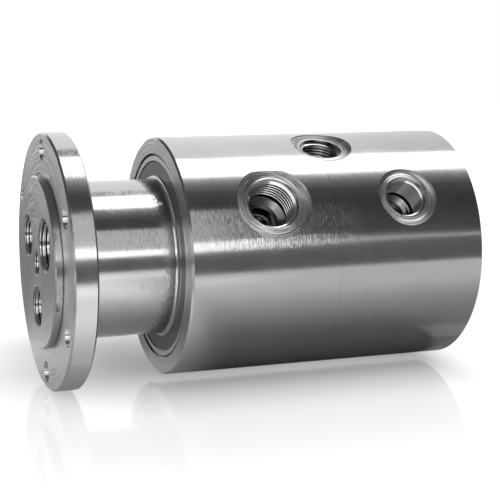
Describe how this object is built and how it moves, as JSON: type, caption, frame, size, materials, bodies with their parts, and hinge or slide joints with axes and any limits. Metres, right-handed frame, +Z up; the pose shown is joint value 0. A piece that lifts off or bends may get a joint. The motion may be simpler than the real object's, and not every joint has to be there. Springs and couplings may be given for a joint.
{
  "type": "rotary union",
  "caption": "Flanged rotary union: a rotor with a mounting flange and axial passages turns in a round side-ported housing on sealed ball bearings.",
  "frame": {"origin": "centre of the flange's mounting face, on the axis of rotation", "axes": "+X along the axis from the flange to the housing's rear face; +Z up, with port B near the top"},
  "size_m": [0.1796, 0.1062, 0.1062],
  "materials": {
    "rotor_steel": "turned",
    "housing_steel": "turned",
    "cover_steel": "turned",
    "bearing_steel": "ground",
    "ball_steel": "polished",
    "spring_steel": "oiled",
    "cage_polymer": "moulded",
    "disc_seal": "matt",
    "sliding_seal": "matt",
    "o_ring_rubber": "matt"
  },
  "bodies": {
    "rotor": {"flanged_rotor": "rotor_steel", "front_bearing_inner_ring": "bearing_steel", "rear_bearing_inner_ring": "bearing_steel", "shaft_retaining_ring": "spring_steel"},
    "housing": {"housing": "housing_steel", "front_bearing_outer_ring": "bearing_steel", "front_bearing_outer_seal": "disc_seal", "front_bearing_inner_seal": "disc_seal", "rear_bearing_outer_ring": "bearing_steel", "rear_bearing_outer_seal": "disc_seal", "rear_bearing_inner_seal": "disc_seal", "rear_cover": "cover_steel", "rear_cover_o_ring": "o_ring_rubber", "bore_retaining_ring": "spring_steel", "seal_ring_1": "sliding_seal", "seal_energiser_1": "o_ring_rubber", "seal_ring_2": "sliding_seal", "seal_energiser_2": "o_ring_rubber", "seal_ring_3": "sliding_seal", "seal_energiser_3": "o_ring_rubber", "seal_ring_4": "sliding_seal", "seal_energiser_4": "o_ring_rubber"},
    "front_ball_set": {"front_bearing_balls": "ball_steel", "front_bearing_cage": "cage_polymer"},
    "rear_ball_set": {"rear_bearing_balls": "ball_steel", "rear_bearing_cage": "cage_polymer"}
  },
  "joints": [
    {"name": "housing_spin", "type": "hinge", "parent": "rotor", "child": "housing", "pos_m": [0.1153, 0, 0], "axis": [1, 0, 0], "continuous": true},
    {"name": "front_ball_set_spin", "type": "hinge", "parent": "rotor", "child": "front_ball_set", "pos_m": [0.053, 0, 0], "axis": [1, 0, 0], "continuous": true},
    {"name": "rear_ball_set_spin", "type": "hinge", "parent": "rotor", "child": "rear_ball_set", "pos_m": [0.1608, 0, 0], "axis": [1, 0, 0], "continuous": true}
  ],
  "couplings": [
    {"joint": "front_ball_set_spin", "follows": "housing_spin", "ratio": 0.53533},
    {"joint": "rear_ball_set_spin", "follows": "housing_spin", "ratio": 0.53456}
  ]
}
